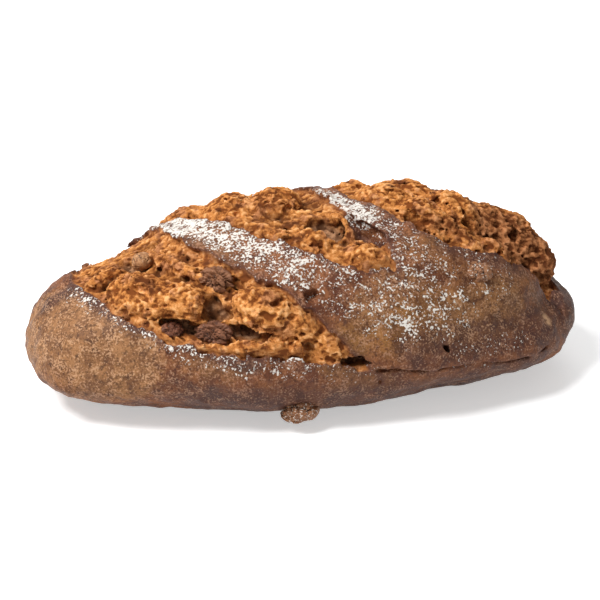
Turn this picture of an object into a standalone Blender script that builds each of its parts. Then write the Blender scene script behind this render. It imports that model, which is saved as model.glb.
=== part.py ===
"""Rye bread loaf: a long oval hearth loaf with three diagonal slashes, and the walnut pieces that show in it.

Run with: blender --background --python part.py
Metres, +Z up. The loaf lies along X on its flat base at z = 0, and its front is towards -Y.
"""

import math

import bmesh
import bpy
import numpy as np
from mathutils import Matrix, Vector

# Driving sizes of the loaf, in metres.
HALF_LENGTH = 0.1430
HALF_WIDTH = 0.0704
HEIGHT = 0.0963
WAIST_HEIGHT = 0.0271
BASE_ROUND = 1.16
TAPER_WIDTH = 0.083
TAPER_HEIGHT = 0.117
TAIL_DROP = 0.148
BEND = 0.0020
PLAN_POWER_TOP = 2.23
PLAN_POWER_BASE = 2.66
SECTION_POWER = 2.11
LEFT_SECTION_POWER = 2.28
LEFT_PLAN_POWER = 0.25
RIGHT_PLAN_POWER = -0.10
BASE_DENTS = ((-0.078, 0.036, 0.0090), (0.060, 0.036, 0.0110))
DENT_LOW = 0.004
DENT_FADE = 0.030
END_STEP = 0.011
END_STEP_HEIGHT = 0.031
END_STEP_FADE = 0.016
CENTRE = Vector((0.0, 0.0, 0.0301))
FRAME_SHIFT = Vector((0.00008, 0.00015, 0.0))
GAP = 0.0003
POCKET_GAP = 1.6 * GAP
START_DEPTH = 0.045
LIP_INSET = 0.0012
CRUMB_DEPTH = 0.014
CRUMB_UNEVEN = 0.0016
CRUST_UNEVEN = 0.0006
SCOOP_ABOVE = 0.010

RINGS = 29
RING_POINTS = 38
SLASH_RINGS = 15
SLASH_POINTS = 11
LUMP_RINGS = 6
LUMP_POINTS = 10
HOLLOW_RINGS = 7
HOLLOW_POINTS = 10

# A slash: its middle, its direction along and across, and stations along it of
# (distance along, lower lip, upper lip), in millimetres from the middle.
SLASHES = {
    "left": {
        "middle": (-0.0535, -0.0270, 0.048),
        "along": (0.814, -0.560, -0.156),
        "across": (0.509, 0.556, 0.657),
        "stations": (
            (-83, 2, 6), (-72, -8, 24), (-55, -14, 30), (-38, -21, 27), (-8, -27, 22),
            (20, -22, 18), (45, -12, 15), (66, -5, 8), (86, 2, 3),
        ),
        "depth": 0.0075,
        "swell": 0.0028,
    },
    "middle": {
        "middle": (-0.0125, 0.0040, 0.064),
        "along": (0.632, -0.750, 0.194),
        "across": (0.765, 0.644, 0.0),
        "stations": (
            (-80, 0, 3), (-68, -18, 16), (-50, -27, 22), (-20, -30, 28), (5, -31, 28),
            (20, -30, 19), (38, -25, 10), (58, -17, 9), (72, 3, 6),
        ),
        "depth": 0.0070,
        "swell": 0.0022,
    },
    "right": {
        "middle": (0.0700, 0.0050, 0.058),
        "along": (0.729, -0.684, -0.030),
        "across": (0.670, 0.722, -0.173),
        "stations": (
            (-82, -4, -2), (-60, -26, 8), (-35, -40, 13), (-10, -45, 17), (8, -46, 18),
            (25, -38, 22), (40, -21, 20), (52, -8, 14), (63, 8, 9),
        ),
        "depth": 0.0065,
        "swell": 0.0022,
    },
}

# Lumps of crumb that stand over it: middle and half sizes, the longest along the slashes.
LUMPS = {
    "swell_left": ((-0.0861, -0.0265, 0.0601), (0.0220, 0.0140, 0.0140)),
    "swell_centre": ((-0.0675, -0.0385, 0.0611), (0.0180, 0.0120, 0.0130)),
    "swell_right": ((-0.0320, -0.0512, 0.0597), (0.0160, 0.0110, 0.0120)),
    "hump_back": ((-0.0556, 0.0312, 0.0689), (0.0200, 0.0160, 0.0140)),
    "hump_middle": ((-0.0346, 0.0163, 0.0807), (0.0170, 0.0160, 0.0140)),
    "hump_top": ((-0.0130, 0.0106, 0.0850), (0.0170, 0.0150, 0.0136)),
    "lobe_over_band": ((0.0238, -0.0406, 0.0761), (0.0140, 0.0090, 0.0100)),
    "hump_right": ((0.0754, -0.0027, 0.0803), (0.0180, 0.0150, 0.0130)),
    "hump_right_low": ((0.0935, 0.0001, 0.0705), (0.0180, 0.0180, 0.0150)),
    "end_upper": ((0.1067, -0.0016, 0.0636), (0.0170, 0.0180, 0.0160)),
    "end_lower": ((0.1173, -0.0064, 0.0540), (0.0140, 0.0140, 0.0140)),
}
SLASH_TURN = -45

# Hollows: middle, half sizes, and the turn about X, Y and Z in degrees.
HOLLOWS = {
    "arch_under_lip": ((-0.0880, -0.0060, 0.0800), (0.0150, 0.0060, 0.0048), (25, 20, -35)),
    "cave_in_crumb": ((0.0070, -0.0250, 0.0915), (0.0098, 0.0062, 0.0060), (20, 0, 20)),
    "recess_under_lip": ((0.0215, -0.0290, 0.0885), (0.0110, 0.0050, 0.0052), (0, 20, -45)),
    "hole_at_slash_end": ((0.0118, -0.0690, 0.0383), (0.0075, 0.0070, 0.0030), (0, 8, 0)),
    "pit_in_band": ((-0.0070, -0.0560, 0.0695), (0.0050, 0.0040, 0.0036), (35, 0, -30)),
    "flap_hole": ((0.0545, -0.0671, 0.0397), (0.0030, 0.0045, 0.0018), (0, -40, 0)),
    "trench_under_swell": ((-0.0620, -0.0560, 0.0570), (0.0170, 0.0045, 0.0036), (40, 14, -30)),
    "end_burst": ((0.1330, -0.0120, 0.0460), (0.0110, 0.0340, 0.0060), (0, -28, 0)),
}

CREASE_POINTS = (
    (0.0207, -0.0707, 0.0332), (0.0303, -0.0704, 0.0330), (0.0401, -0.0700, 0.0308),
    (0.0542, -0.0687, 0.0302), (0.0687, -0.0664, 0.0292), (0.0833, -0.0632, 0.0271),
    (0.0991, -0.0583, 0.0259), (0.1139, -0.0507, 0.0268),
)
CREASE_RADIUS = 0.0014

# Walnut pieces: middle, half sizes, turn about Z in degrees, and how deep their wrinkles are.
WALNUTS = {
    "walnut_in_arch": ((-0.0831, -0.0112, 0.0775), (0.0052, 0.0045, 0.0045), 10, 0.03),
    "walnut_curled": ((-0.0525, -0.0390, 0.0768), (0.0080, 0.0058, 0.0056), -35, 0.16),
    "walnut_left": ((-0.0772, -0.0500, 0.0550), (0.0056, 0.0045, 0.0040), 15, 0.10),
    "walnut_middle": ((-0.0573, -0.0560, 0.0545), (0.0086, 0.0060, 0.0054), -20, 0.14),
    "walnut_shoulder": ((0.0780, -0.0465, 0.0705), (0.0084, 0.0060, 0.0052), -15, 0.08),
    "walnut_at_foot": ((-0.0162, -0.0620, 0.0108), (0.0090, 0.0064, 0.0058), 5, 0.10),
}

# Colour, roughness and metallic value of each material.
MATERIALS = {
    "crust": ((0.150, 0.078, 0.050), 0.72, 0.0),
    "walnut": ((0.140, 0.060, 0.030), 0.60, 0.0),
}


def smooth_step(value):
    value = np.clip(value, 0.0, 1.0)
    return value * value * (3.0 - 2.0 * value)


def loaf_value(points):
    """Less than 0 inside the unslashed loaf and more than 0 outside, for an array of points."""
    x, y, z = points[:, 0], points[:, 1], points[:, 2]
    low = 1.0 - smooth_step((z - DENT_LOW) / DENT_FADE)
    length = HALF_LENGTH - END_STEP * smooth_step((z - END_STEP_HEIGHT) / END_STEP_FADE) * (x > 0)
    s = x / length
    width = HALF_WIDTH * (1.0 + TAPER_WIDTH * s)
    for place, spread, dent in BASE_DENTS:
        width = width - dent * np.exp(-(((x - place) / spread) ** 2)) * low * (y < 0)
    rise = (HEIGHT - WAIST_HEIGHT) * (1.0 + TAPER_HEIGHT * s - TAIL_DROP * np.minimum(s, 0.0) ** 2)
    rise = np.where(z > WAIST_HEIGHT, rise, WAIST_HEIGHT * BASE_ROUND)
    blend = np.clip((z - 0.3 * WAIST_HEIGHT) / (1.2 * WAIST_HEIGHT), 0.0, 1.0)
    left = smooth_step((-s - 0.70) / 0.22)
    right = smooth_step((s - 0.72) / 0.22)
    power = PLAN_POWER_BASE + LEFT_PLAN_POWER * left + RIGHT_PLAN_POWER * right
    power = power + (PLAN_POWER_TOP - PLAN_POWER_BASE) * blend
    section = SECTION_POWER + (LEFT_SECTION_POWER - SECTION_POWER) * left
    across = np.abs((y - BEND * s * s) / width)
    plan = (np.abs(s) ** power + across**power) ** (1.0 / power)
    up = np.abs((z - WAIST_HEIGHT) / rise)
    return (plan**section + up**section) ** (1.0 / section) - 1.0


def reach(starts, directions, longest=0.20):
    """How far each start goes along its direction before it leaves the unslashed loaf."""
    near = np.zeros(len(starts))
    far = np.full(len(starts), longest)
    for _ in range(32):
        middle = 0.5 * (near + far)
        inside = loaf_value(starts + directions * middle[:, None]) < 0.0
        near = np.where(inside, middle, near)
        far = np.where(inside, far, middle)
    return near


def lumps(points, size, seed):
    """A smooth uneven field between about -1 and 1, with bumps of the given size."""
    total = np.zeros(len(points))
    turn = np.random.default_rng(seed)
    for octave in range(3):
        for _ in range(4):
            wave = turn.normal(size=3)
            wave *= (2.0**octave) * 2.0 * math.pi / (size * np.linalg.norm(wave))
            total += np.sin(points @ wave + turn.uniform(0.0, 6.28)) * 0.6**octave
    return total / 4.0


def new_object(name, mesh, collection, material=None):
    obj = bpy.data.objects.new(name, mesh)
    collection.objects.link(obj)
    if material:
        mesh.materials.append(material)
    mesh.shade_smooth()
    mesh.set_sharp_from_angle(angle=math.radians(40))
    return obj


def ball(segments, rings):
    """A bmesh sphere of radius 1 whose poles are on X, and its points as an array."""
    bm = bmesh.new()
    bmesh.ops.create_uvsphere(bm, u_segments=segments, v_segments=rings, radius=1.0)
    bmesh.ops.rotate(bm, verts=bm.verts, matrix=Matrix.Rotation(math.radians(90), 3, "Y"))
    return bm, np.array([vert.co for vert in bm.verts])


def finish(bm, points, name):
    for vert, point in zip(bm.verts, points):
        vert.co = point
    bmesh.ops.recalc_face_normals(bm, faces=bm.faces)
    mesh = bpy.data.meshes.new(name)
    bm.to_mesh(mesh)
    bm.free()
    return mesh


def loaf_mesh():
    """The unslashed loaf: a ball whose rings are spread along X and drawn out to the loaf's surface."""
    bm, points = ball(RING_POINTS, RINGS)
    stretch = np.array((HALF_LENGTH, HALF_WIDTH, HEIGHT * 0.5))
    directions = points * stretch
    directions /= np.linalg.norm(directions, axis=1)[:, None]
    starts = np.tile(np.array(CENTRE), (len(points), 1))
    found = starts + directions * reach(starts, directions)[:, None]
    found += directions * (CRUST_UNEVEN * lumps(found, 0.030, 3))[:, None]
    return finish(bm, found, "loaf")


def slash_frame(slash):
    along = Vector(slash["along"]).normalized()
    across = Vector(slash["across"])
    across = (across - along * across.dot(along)).normalized()
    return np.array(slash["middle"]), np.array(along), np.array(across), np.array(along.cross(across))


def slash_solid(slash, name, inset, below, above, roughness, seed):
    """A lens along the loaf's surface between the slash's lips, from `below` under it to `above` over it."""
    middle, along, across, outward = slash_frame(slash)
    stations = np.array(slash["stations"], float) * 0.001
    bm, points = ball(SLASH_POINTS, SLASH_RINGS)
    first, last = stations[0, 0] + 5.0 * inset, stations[-1, 0] - 5.0 * inset
    # The ball's poles crowd its rings, so its length is spread evenly over the angle instead.
    ring = 0.5 - np.arcsin(np.clip(points[:, 0], -1.0, 1.0)) / math.pi
    u = first + (last - first) * (1.0 - ring)
    lower = np.interp(u, stations[:, 0], stations[:, 1]) + inset
    upper = np.interp(u, stations[:, 0], stations[:, 2]) - inset
    girth = np.sqrt(np.maximum(1e-9, 1.0 - points[:, 0] ** 2))
    side = np.clip(points[:, 1] / girth, -1.0, 1.0)
    lift = points[:, 2] / girth
    closing = np.minimum(1.0, girth / 0.35)
    w = 0.5 * (lower + upper) + 0.5 * np.maximum(upper - lower, 0.001) * side * closing
    flat = middle + u[:, None] * along + w[:, None] * across
    starts = flat - START_DEPTH * outward
    directions = np.tile(outward, (len(flat), 1))
    surface = starts + directions * reach(starts, directions)[:, None]
    height = np.where(lift > 0, above * lift, below * lift) * closing
    height = height + roughness * lumps(surface, 0.022, seed) * closing
    return finish(bm, surface + directions * height[:, None], name)


def hollow_mesh(name, middle, half, turns):
    bm, points = ball(HOLLOW_POINTS, HOLLOW_RINGS)
    points = points * np.array(half)
    points *= (1.0 + 0.12 * lumps(points, 0.008, len(name)))[:, None]
    turn = Matrix.Rotation(math.radians(turns[2]), 3, "Z")
    turn = turn @ Matrix.Rotation(math.radians(turns[1]), 3, "Y")
    turn = turn @ Matrix.Rotation(math.radians(turns[0]), 3, "X")
    return finish(bm, points @ np.array(turn).T + np.array(middle), name)


def lump_mesh(name, middle, half):
    bm, points = ball(LUMP_POINTS, LUMP_RINGS)
    points = points * np.array(half)
    points *= (1.0 + 0.10 * lumps(points, 0.012, len(name)))[:, None]
    turn = np.array(Matrix.Rotation(math.radians(SLASH_TURN), 3, "Z"))
    return finish(bm, points @ turn.T + np.array(middle), name)


def walnut_mesh(name, middle, half, turn, wrinkle, extra):
    """A walnut piece: a ball pressed to its half sizes and creased by the folds of the kernel."""
    bm = bmesh.new()
    bmesh.ops.create_icosphere(bm, subdivisions=3, radius=1.0)
    points = np.array([vert.co for vert in bm.verts])
    folds = np.abs(lumps(points, 1.5, len(name)))
    scaled = points * (1.0 + wrinkle * (folds - 0.6))[:, None] * np.array(half)
    scaled += points * extra
    rotate = np.array(Matrix.Rotation(math.radians(turn), 3, "Z"))
    return finish(bm, scaled @ rotate.T + np.array(middle), name)


def crease_mesh():
    """The cutter of the crease that runs above the base on the front: a bevelled curve made a mesh."""
    curve = bpy.data.curves.new("crease_path", "CURVE")
    curve.dimensions = "3D"
    curve.bevel_depth = CREASE_RADIUS
    curve.bevel_resolution = 1
    curve.use_fill_caps = True
    curve.resolution_u = 4
    spline = curve.splines.new("BEZIER")
    spline.bezier_points.add(len(CREASE_POINTS) - 1)
    for bezier, place in zip(spline.bezier_points, CREASE_POINTS):
        bezier.co = place
        bezier.handle_left_type = "AUTO"
        bezier.handle_right_type = "AUTO"
    path = bpy.data.objects.new("crease_path", curve)
    bpy.context.scene.collection.objects.link(path)
    evaluated = path.evaluated_get(bpy.context.evaluated_depsgraph_get())
    mesh = bpy.data.meshes.new_from_object(evaluated)
    bpy.data.objects.remove(path)
    bm = bmesh.new()
    bm.from_mesh(mesh)
    bmesh.ops.remove_doubles(bm, verts=bm.verts, dist=1e-6)
    bmesh.ops.recalc_face_normals(bm, faces=bm.faces)
    bm.to_mesh(mesh)
    bm.free()
    return mesh


def floor_mesh():
    bm = bmesh.new()
    bmesh.ops.create_cube(bm, size=1.0)
    bmesh.ops.scale(bm, verts=bm.verts, vec=(0.40, 0.30, 0.03))
    bmesh.ops.translate(bm, verts=bm.verts, vec=(0.0, 0.0, -0.015))
    mesh = bpy.data.meshes.new("floor")
    bm.to_mesh(mesh)
    bm.free()
    return mesh


def material(name):
    colour, roughness, metallic = MATERIALS[name]
    made = bpy.data.materials.new(name)
    made.use_nodes = True
    shader = made.node_tree.nodes["Principled BSDF"]
    shader.inputs["Base Color"].default_value = (*colour, 1.0)
    shader.inputs["Roughness"].default_value = roughness
    shader.inputs["Metallic"].default_value = metallic
    return made


def collection(name):
    made = bpy.data.collections.new(name)
    bpy.context.scene.collection.children.link(made)
    return made


def boolean(target, tool, operation):
    modifier = target.modifiers.new(f"{operation.lower()}_{tool.name}", "BOOLEAN")
    modifier.operation = operation
    modifier.solver = "EXACT"
    modifier.object = tool


def helper(name, mesh, cutters):
    obj = bpy.data.objects.new(name, mesh)
    cutters.objects.link(obj)
    obj.hide_render = True
    obj.display_type = "WIRE"
    return obj


def main():
    for obj in list(bpy.data.objects):
        bpy.data.objects.remove(obj)
    loaf_parts = collection("rye_bread_loaf")
    cutters = collection("cutters")
    crust = material("crust")
    nut = material("walnut")

    loaf = new_object("loaf", loaf_mesh(), loaf_parts, crust)
    for seed, (side, slash) in enumerate(SLASHES.items()):
        scoop = slash_solid(slash, f"scoop_{side}", 0.0, slash["depth"], SCOOP_ABOVE, 0.0, seed)
        boolean(loaf, helper(f"scoop_{side}", scoop, cutters), "DIFFERENCE")
    for seed, (side, slash) in enumerate(SLASHES.items()):
        name = f"crumb_{side}"
        crumb = slash_solid(slash, name, LIP_INSET, CRUMB_DEPTH, slash["swell"], CRUMB_UNEVEN, seed + 5)
        boolean(loaf, helper(name, crumb, cutters), "UNION")
    for name, (middle, half) in LUMPS.items():
        boolean(loaf, helper(name, lump_mesh(name, middle, half), cutters), "UNION")
    for name, (middle, half, turn, wrinkle) in WALNUTS.items():
        new_object(name, walnut_mesh(name, middle, half, turn, wrinkle, 0.0), loaf_parts, nut)
        pocket = walnut_mesh(name, middle, half, turn, wrinkle, POCKET_GAP)
        boolean(loaf, helper(f"pocket_{name}", pocket, cutters), "DIFFERENCE")
    for name, (middle, half, turns) in HOLLOWS.items():
        boolean(loaf, helper(name, hollow_mesh(name, middle, half, turns), cutters), "DIFFERENCE")
    boolean(loaf, helper("crease", crease_mesh(), cutters), "DIFFERENCE")
    boolean(loaf, helper("floor", floor_mesh(), cutters), "DIFFERENCE")
    for obj in (*loaf_parts.objects, *cutters.objects):
        obj.location = FRAME_SHIFT


main()
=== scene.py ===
"""The looks of the rye bread loaf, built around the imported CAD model.

The loaf's surface is the zero level of a field on a grid: the CAD loaf's own outline, opened by three
slashes whose crumb swells out in lumps, with hollows, pores, wrinkles and creases. Lengths inside the
modelling functions are millimetres, and everything is scaled to metres when it becomes a mesh.
"""

import math

import bmesh
import bpy
import numpy as np
from mathutils import Matrix, Vector


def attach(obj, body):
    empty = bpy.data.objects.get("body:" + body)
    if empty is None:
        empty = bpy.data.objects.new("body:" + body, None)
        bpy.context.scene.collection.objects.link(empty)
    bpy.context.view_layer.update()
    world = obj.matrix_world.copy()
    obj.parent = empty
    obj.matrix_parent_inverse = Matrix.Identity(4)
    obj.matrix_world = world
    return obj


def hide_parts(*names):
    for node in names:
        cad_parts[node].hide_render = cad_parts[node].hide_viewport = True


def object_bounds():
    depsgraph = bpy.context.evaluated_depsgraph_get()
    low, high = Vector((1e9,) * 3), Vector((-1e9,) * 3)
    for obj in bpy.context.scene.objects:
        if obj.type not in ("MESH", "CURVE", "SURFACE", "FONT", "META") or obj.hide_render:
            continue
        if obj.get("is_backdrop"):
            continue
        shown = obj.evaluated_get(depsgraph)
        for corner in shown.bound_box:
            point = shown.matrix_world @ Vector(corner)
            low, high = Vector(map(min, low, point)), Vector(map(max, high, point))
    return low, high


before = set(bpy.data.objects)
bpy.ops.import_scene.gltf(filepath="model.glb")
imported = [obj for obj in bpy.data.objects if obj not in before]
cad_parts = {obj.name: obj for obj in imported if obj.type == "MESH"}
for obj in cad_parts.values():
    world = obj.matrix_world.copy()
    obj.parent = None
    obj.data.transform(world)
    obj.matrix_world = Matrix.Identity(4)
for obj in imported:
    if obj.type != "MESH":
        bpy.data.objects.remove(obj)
CAD_LOW, CAD_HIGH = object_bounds()

MM = 0.001
VOXEL = 0.62
LOAF_TRIANGLES = 195_000

# ---------------------------------------------------------------- the loaf's own sizes, as in the CAD
HALF_LENGTH = 143.0
HALF_WIDTH = 70.4
HEIGHT = 96.3
WAIST_HEIGHT = 27.1
BASE_ROUND = 1.16
TAPER_WIDTH = 0.083
TAPER_HEIGHT = 0.117
TAIL_DROP = 0.148
BEND = 2.0
PLAN_POWER_TOP = 2.23
PLAN_POWER_BASE = 2.66
SECTION_POWER = 2.11
LEFT_SECTION_POWER = 2.28
LEFT_PLAN_POWER = 0.25
RIGHT_PLAN_POWER = -0.1
BASE_DENTS = ((-78.0, 36.0, 9.0), (60.0, 36.0, 11.0))
DENT_LOW = 4.0
DENT_FADE = 30.0
END_STEP = 11.0
END_STEP_LOW = 31.0
END_STEP_FADE = 16.0
END_SHARE = 0.22
FIELD_SCALE = 60.0

# ---------------------------------------------------------------- the grid and the finer relief
GRID_LOW = (-149.0, -78.0, -2.0)
GRID_HIGH = (149.0, 78.0, 106.0)
COARSE_CELL = 2.5
FAR_OUTSIDE = -50.0
SLASH_DEEPEST = -45.0
LIP_RISE = 1.3
LIP_REACH = 4.5
CRUMB_SINK = 2.2
CRUMB_SINK_INSIDE = 2.4
# How many holes there are, how big, and how much their sizes vary: torn holes, then pores.
HOLES = ((46, 2.4, 0.30), (3400, 0.75, 0.40))

# A slash: its middle, its direction along and across, and stations along it of
# (distance along, lower lip, upper lip).
SLASHES = {
    "left": {
        "middle": (-53.5, -27.0, 48.0),
        "along": (0.814, -0.560, -0.156),
        "across": (0.509, 0.556, 0.657),
        "stations": (
            (-83, 2, 14), (-72, -8, 34), (-55, -14, 41), (-38, -21, 31), (-8, -27, 22),
            (20, -22, 18), (45, -12, 15), (66, -5, 8), (86, 2, 3),
        ),
    },
    "middle": {
        "middle": (-12.5, 4.0, 64.0),
        "along": (0.632, -0.750, 0.194),
        "across": (0.765, 0.644, 0.0),
        "stations": (
            (-80, 0, 3), (-68, -18, 16), (-50, -27, 22), (-20, -30, 28), (5, -31, 28),
            (20, -30, 19), (38, -25, 10), (58, -17, 9), (72, 3, 6),
        ),
    },
    "right": {
        "middle": (70.0, 5.0, 58.0),
        "along": (0.729, -0.684, -0.030),
        "across": (0.670, 0.722, -0.173),
        "stations": (
            (-82, -4, -2), (-60, -26, 8), (-35, -40, 13), (-10, -45, 17), (8, -46, 22),
            (25, -38, 28), (42, -19, 33), (50, -5, 33), (56, 10, 32), (61, 20, 28),
        ),
    },
}

# Swellings of the crumb: a spot on the outline, how far the swelling stands over it, its half sizes along
# the slash, across it and inwards, and its turn about the outline's normal in degrees.
LUMPS = (
    ((-90.0, -31.0, 68.0), 6.0, (22.0, 14.0, 14.0), 0),
    ((-70.0, -44.0, 67.0), 6.0, (18.0, 11.0, 13.0), 6),
    ((-33.0, -56.0, 64.5), 5.5, (16.0, 11.0, 12.0), -6),
    ((-15.0, -62.0, 57.0), 3.0, (14.0, 9.0, 10.0), 8),
    ((-86.0, -49.0, 51.0), 0.8, (16.0, 5.0, 8.0), 6),
    ((-62.0, -59.0, 47.0), 1.2, (16.0, 5.0, 8.0), 10),
    ((-33.0, -64.5, 47.0), 1.8, (18.0, 5.5, 8.0), 10),
    ((-107.0, -7.0, 66.0), 1.2, (13.0, 5.0, 8.0), 60),
    ((-74.0, -17.0, 77.0), 0.4, (24.0, 5.0, 8.0), -8),
    ((-18.0, -67.0, 46.0), 3.6, (3.6, 4.6, 6.0), 0),
    ((0.0, -67.0, 48.0), 1.0, (12.0, 8.0, 9.0), 10),
    ((-58.0, 36.0, 77.0), 3.5, (20.0, 16.0, 14.0), 0),
    ((-36.0, 18.0, 88.0), 4.4, (17.0, 16.0, 14.0), 0),
    ((-14.0, 12.0, 95.0), 4.4, (17.0, 15.0, 14.0), 0),
    ((-24.0, -20.0, 92.0), 1.0, (28.0, 6.0, 10.0), 0),
    ((-1.0, -31.0, 90.0), 1.8, (10.0, 6.0, 9.0), 10),
    ((14.0, -24.0, 93.0), 2.6, (10.0, 3.0, 8.0), -28),
    ((24.0, -46.0, 83.0), 2.2, (14.0, 9.0, 10.0), 0),
    ((-56.0, 52.0, 56.0), 2.0, (16.0, 12.0, 12.0), 0),
    ((44.0, 6.0, 95.0), 2.4, (18.0, 14.0, 13.0), 0),
    ((58.0, -14.0, 92.0), 2.4, (15.0, 11.0, 12.0), 0),
    ((78.0, -3.0, 88.0), 4.6, (18.0, 15.0, 13.0), 0),
    ((99.0, 0.0, 80.0), 5.0, (18.0, 18.0, 15.0), 0),
    ((114.0, -2.0, 72.0), 8.0, (17.0, 18.0, 16.0), 0),
    ((126.0, -8.0, 60.0), 8.0, (14.0, 14.0, 14.0), 0),
    ((127.0, -13.0, 57.0), 9.5, (10.0, 10.0, 12.0), 0),
    ((74.0, -27.0, 85.0), 1.4, (20.0, 4.0, 8.0), 0),
    ((96.0, -31.0, 73.0), 1.4, (12.0, 4.0, 8.0), 0),
    ((60.0, 32.0, 84.0), 2.5, (22.0, 14.0, 12.0), 0),
    ((30.0, 40.0, 82.0), 2.0, (16.0, 12.0, 12.0), 0),
    ((88.0, 24.0, 76.0), 3.0, (16.0, 14.0, 12.0), 0),
)

# Hollows: a spot on the outline, how deep under it the hollow's middle lies, its half sizes and its turn.
HOLLOWS = (
    ((-91.0, -4.0, 74.5), 3.2, (15.0, 4.4, 5.5), -8),
    ((-103.0, -10.0, 68.0), 2.4, (10.0, 1.7, 5.0), 72),
    ((-70.0, -52.5, 57.0), 4.4, (16.0, 3.4, 7.0), 0),
    ((-44.0, -60.0, 54.8), 4.2, (11.0, 3.2, 6.5), 2),
    ((-57.0, -51.0, 65.0), 3.0, (5.6, 8.0, 6.5), 50),
    ((-51.0, -42.0, 75.5), 3.0, (3.0, 2.8, 6.0), 0),
    ((-43.0, -45.0, 75.0), 2.2, (6.0, 2.8, 4.5), -6),
    ((5.0, -24.0, 93.0), 4.2, (11.0, 8.0, 8.0), -10),
    ((-16.0, -4.0, 96.0), 2.4, (9.0, 5.0, 5.0), 0),
    ((23.0, -29.0, 91.5), 3.8, (14.0, 4.6, 7.5), -6),
    ((13.5, -34.5, 88.5), 2.5, (2.4, 1.8, 4.6), 0),
    ((19.0, -38.0, 86.6), 2.5, (2.2, 1.8, 4.6), 0),
    ((10.5, -70.1, 37.6), 2.4, (8.4, 2.5, 8.0), 3),
    ((-8.5, -56.5, 69.5), 1.2, (4.6, 3.2, 3.6), 40),
    ((54.8, -67.1, 39.8), 1.0, (2.7, 1.5, 4.0), -30),
    ((51.0, -19.0, 92.8), 2.4, (5.0, 3.2, 6.0), 0),
    ((82.0, -17.0, 85.5), 2.2, (9.0, 2.6, 6.0), 0),
    ((96.0, -20.0, 77.0), 2.2, (6.0, 2.6, 6.0), 0),
    ((70.0, -4.0, 90.0), 1.8, (8.0, 3.0, 5.0), 20),
    ((106.0, -10.0, 74.0), 0.5, (7.0, 3.0, 5.0), -20),
    ((124.0, -22.0, 46.0), 1.0, (18.0, 3.4, 6.0), 12),
    ((126.0, 8.0, 47.0), 1.0, (16.0, 3.4, 5.0), 60),
)

# The fold along the right front, where the upper crust laps over the lower.
CREASE = (
    (20.7, -70.7, 33.2), (30.3, -70.4, 33.0), (40.1, -70.0, 30.8), (54.2, -68.7, 30.2),
    (68.7, -66.4, 29.2), (83.3, -63.2, 27.1), (99.1, -58.3, 25.9), (113.9, -50.7, 26.8),
)
CREASE_RADIUS = 1.1
LAP = 2.0

# Stretches of the surface: the two ends of each, its reach, and how much of the surface it covers. On the
# crust they are floured, tan, purple brown, pale or golden. On the crumb they are smooth, or burnt: the
# first burnt stretch, over the right end of the right slash, is painted shade, and the rest are burnt spots.
FLOUR = (
    ((-100, 30, 72), (-60, 5, 84), 15, 0.80),
    ((-60, 5, 84), (-30, -29, 83), 14, 0.62),
    ((-30, -29, 83), (-15, -46, 80), 13, 0.52),
    ((-15, -46, 80), (6, -56, 66), 11, 0.34),
    ((6, -52, 74), (40, -62, 60), 17, 0.34),
    ((45, -48, 76), (56, -60, 62), 18, 0.34),
    ((30, -64.5, 57), (40, -66, 51.5), 3, 0.62),
    ((40, -66, 51.5), (51, -63, 54.5), 3, 0.62),
    ((80, -50, 62), (81, -51, 58), 1.6, 0.9),
    ((74, -40, 78), (84, -40, 76), 4, 0.42),
    ((60, -45, 76), (90, -50, 66), 14, 0.16),
    ((-2, 24, 94), (26, -22, 95), 8, 0.74),
    ((26, -22, 95), (50, -46, 82), 8, 0.36),
    ((-122, -8, 62), (-97, -39, 58), 6, 0.34),
    ((-97, -39, 57), (-70, -57, 47), 5, 0.40),
    ((-70, -57, 46), (-33, -66, 41), 6, 0.36),
    ((-47, -64, 38), (-42, -65, 36), 3, 0.55),
    ((-33, -66, 40), (15, -71, 32), 6, 0.25),
    ((35, -68, 20), (75, -62, 20), 8, 0.27),
    ((-24, -66, 46), (-12, -68, 44), 5, 0.75),
    ((60, -70, 38), (100, -58, 36), 5, 0.16),
    ((-70, 45, 66), (-20, 66, 45), 16, 0.45),
    ((0, 50, 80), (40, 68, 50), 14, 0.45),
    ((60, 55, 62), (100, 45, 60), 22, 0.28),
)
TAN = (
    ((-134, -10, 42), (-100, -44, 40), 22, 1.0),
    ((-90, -52, 34), (-62, -60, 32), 12, 0.30),
    ((58, -62, 50), (92, -52, 56), 15, 0.55),
    ((18, -62, 62), (34, -56, 72), 12, 0.50),
    ((-60, 64, 40), (60, 66, 45), 26, 0.60),
)
PURPLE = (
    ((-136, -2, 56), (-118, -4, 67), 8, 1.0),
    ((-118, -4, 66), (-98, -36, 60), 7, 1.0),
    ((-98, -38, 58), (-40, -67, 41), 6, 0.85),
    ((-60, -62, 12), (100, -52, 12), 20, 0.75),
    ((40, -66, 40), (118, -46, 36), 12, 0.65),
    ((60, -38, 80), (104, -36, 66), 7, 0.60),
    ((128, -20, 30), (138, 10, 34), 20, 0.80),
)
PALE = (
    ((117, -41, 45), (117, -42, 33), 2.2, 0.9),
    ((-128, -38, 14), (-124, -42, 12), 2, 0.8),
)
GOLDEN = (
    ((30, -66, 52), (92, -54, 52), 14, 0.8),
    ((-2, -68, 42), (20, -66, 56), 9, 0.7),
    ((46, -40, 84), (70, -50, 70), 8, 0.35),
)
SMOOTH = (
    ((-119, 5, 66), (-88, 10, 77), 7, 1.0),
    ((14, -44, 84), (34, -46, 82), 11, 0.9),
    ((-78, -54, 48), (-22, -65, 45), 4, 0.6),
    ((-56, -50, 66), (-54, -50, 66), 7, 0.9),
    ((-44, 14, 88), (-14, -20, 94), 7, 0.5),
    ((44, -12, 94), (96, -20, 80), 7, 0.4),
    ((60, 20, 90), (100, 10, 80), 10, 0.5),
)
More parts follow.
